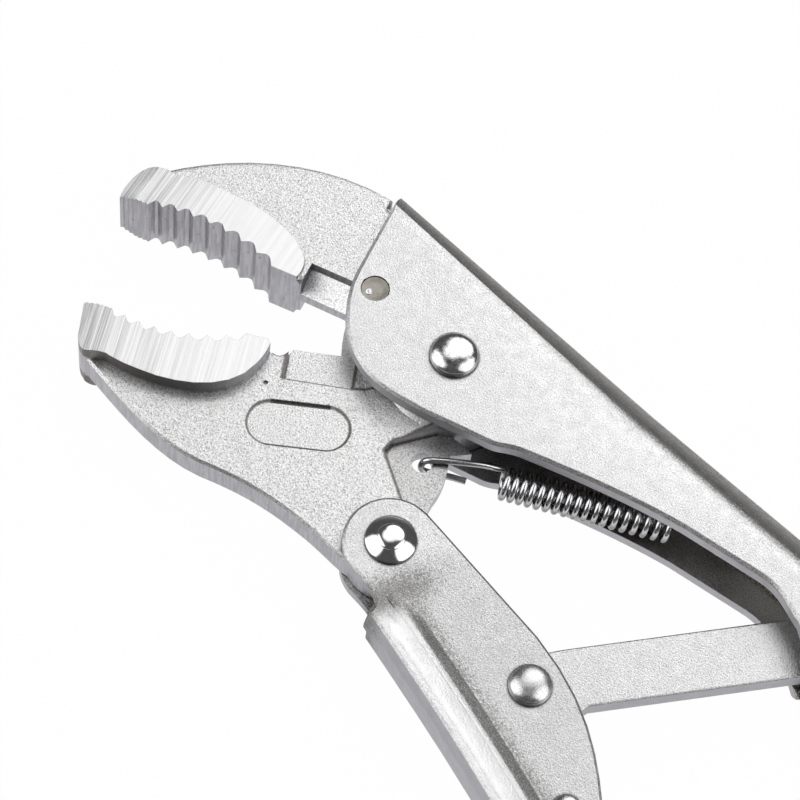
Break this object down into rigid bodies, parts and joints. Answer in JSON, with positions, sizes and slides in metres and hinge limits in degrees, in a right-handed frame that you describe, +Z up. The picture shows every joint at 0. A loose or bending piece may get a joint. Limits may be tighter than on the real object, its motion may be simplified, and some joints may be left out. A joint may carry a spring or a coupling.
{
  "type": "locking pliers",
  "caption": "Curved-jaw locking pliers with wire cutter, standing open: folded-sheet handles, toggle link, return spring, release lever and knurled adjusting screw.",
  "frame": {"origin": "bottom centre of the tool's bounding box as it lies on its side, jaws open", "axes": "+X along the upper handle from the jaws to the adjusting screw, +Y to the back of the upper handle, +Z up through the thickness"},
  "size_m": [0.178, 0.0844, 0.0163],
  "materials": {
    "plated_sheet": "nickel plated over a fine blasted surface, soft sheen",
    "jaw_steel": "nickel plated forging, blasted web, ground flanks and teeth",
    "rivet_chrome": "polished domed heads",
    "rivet_satin": "satin heads, pin end sunk",
    "screw_steel": "bright turned thread, knurled knob",
    "spring_wire": "bright drawn wire"
  },
  "bodies": {
    "upper_handle": {"upper_handle": "plated_sheet", "upper_jaw": "jaw_steel", "upper_jaw_pin": "rivet_satin", "main_rivet": "rivet_chrome", "spring_tab": "plated_sheet", "return_spring": "spring_wire"},
    "lower_jaw": {"lower_jaw": "jaw_steel"},
    "lower_handle": {"lower_handle": "plated_sheet", "handle_rivet": "rivet_chrome", "link_rivet": "rivet_satin", "lever_rivet": "rivet_satin"},
    "toggle_link": {"toggle_link": "plated_sheet"},
    "release_lever": {"release_lever": "plated_sheet"},
    "adjusting_screw": {"adjusting_screw": "screw_steel"},
    "screw_knob": {"screw_knob": "screw_steel"}
  },
  "joints": [
    {"name": "jaw_pivot", "type": "hinge", "parent": "upper_handle", "child": "lower_jaw", "pos_m": [-0.03576, 0.02699, 0.00762], "axis": [0, 0, -1], "range_deg": [0, 18.8], "stiffness_Nm_per_rad": 0.3, "springref_deg": -17.19, "deforming": ["return_spring"]},
    {"name": "handle_pivot", "type": "hinge", "parent": "lower_jaw", "child": "lower_handle", "pos_m": [-0.02336, 0.00089, 0.00762], "axis": [0, 0, 1], "range_deg": [-1, 54]},
    {"name": "link_pivot", "type": "hinge", "parent": "lower_handle", "child": "toggle_link", "pos_m": [0.00424, -0.00161, 0.00762], "axis": [0, 0, -1], "range_deg": [-1, 58.5]},
    {"name": "lever_pivot", "type": "hinge", "parent": "lower_handle", "child": "release_lever", "pos_m": [0.01914, -0.01111, 0.00762], "axis": [0, 0, -1], "range_deg": [0, 5.5]},
    {"name": "screw_travel", "type": "slide", "parent": "upper_handle", "child": "adjusting_screw", "axis": [1, 0, 0], "range_m": [-0.001, 0.012]},
    {"name": "knob_turn", "type": "hinge", "parent": "adjusting_screw", "child": "screw_knob", "pos_m": [0.08024, 0.03519, 0.00762], "axis": [1, 0, 0], "range_deg": [-270, 3420]}
  ],
  "couplings": [
    {"joint": "handle_pivot", "follows": "jaw_pivot", "ratio": 2.8239},
    {"joint": "link_pivot", "follows": "jaw_pivot", "ratio": 3.0681},
    {"joint": "screw_travel", "follows": "knob_turn", "m_per_rad": 0.00019894}
  ]
}
